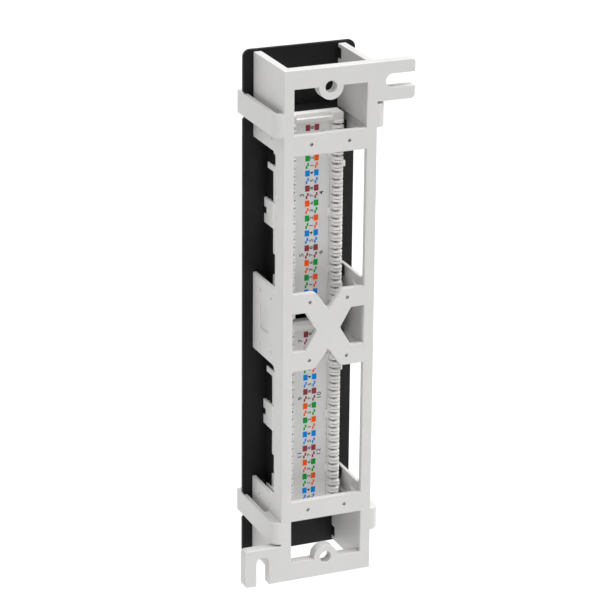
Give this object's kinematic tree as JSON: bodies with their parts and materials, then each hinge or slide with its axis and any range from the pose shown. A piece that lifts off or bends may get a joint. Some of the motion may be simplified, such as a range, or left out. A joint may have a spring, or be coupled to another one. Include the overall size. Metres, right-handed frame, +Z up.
{
  "type": "wall mount patch panel",
  "caption": "White wall bracket with slotted ears and snap arms that carries a black faceplate of modular jack sockets, with punch-down wiring blocks on its wall side.",
  "frame": {"origin": "centre of the bracket's wall contact face, on the middle of the cross brace", "axes": "+Z up along the panel, +Y into the wall, so the jack sockets face -Y; +X to the right as seen from the front"},
  "size_m": [0.0834, 0.0461, 0.254],
  "materials": {
    "bracket_white": "white moulded plastic, satin",
    "plate_black": "black moulded plastic, satin",
    "block_white": "white moulded plastic, satin",
    "jack_black": "black moulded plastic, glossy",
    "board_green": "green solder mask",
    "label_paper": "printed strip, matte",
    "contact_tinned": "tinned bronze",
    "spring_gold": "gold-plated wire"
  },
  "bodies": {
    "root": {"mounting_bracket": "bracket_white", "faceplate": "plate_black", "circuit_board_upper": "board_green", "punch_block_upper": "block_white", "wiring_label_upper": "label_paper", "punch_contacts_upper_right": "contact_tinned", "punch_contacts_upper_left": "contact_tinned", "circuit_board_lower": "board_green", "punch_block_lower": "block_white", "wiring_label_lower": "label_paper", "punch_contacts_lower_right": "contact_tinned", "punch_contacts_lower_left": "contact_tinned", "port_jack_01": "jack_black", "jack_contacts_01": "spring_gold", "port_jack_02": "jack_black", "jack_contacts_02": "spring_gold", "port_jack_03": "jack_black", "jack_contacts_03": "spring_gold", "port_jack_04": "jack_black", "jack_contacts_04": "spring_gold", "port_jack_05": "jack_black", "jack_contacts_05": "spring_gold", "port_jack_06": "jack_black", "jack_contacts_06": "spring_gold", "port_jack_07": "jack_black", "jack_contacts_07": "spring_gold", "port_jack_08": "jack_black", "jack_contacts_08": "spring_gold", "port_jack_09": "jack_black", "jack_contacts_09": "spring_gold", "port_jack_10": "jack_black", "jack_contacts_10": "spring_gold", "port_jack_11": "jack_black", "jack_contacts_11": "spring_gold", "port_jack_12": "jack_black", "jack_contacts_12": "spring_gold"}
  },
  "joints": []
}
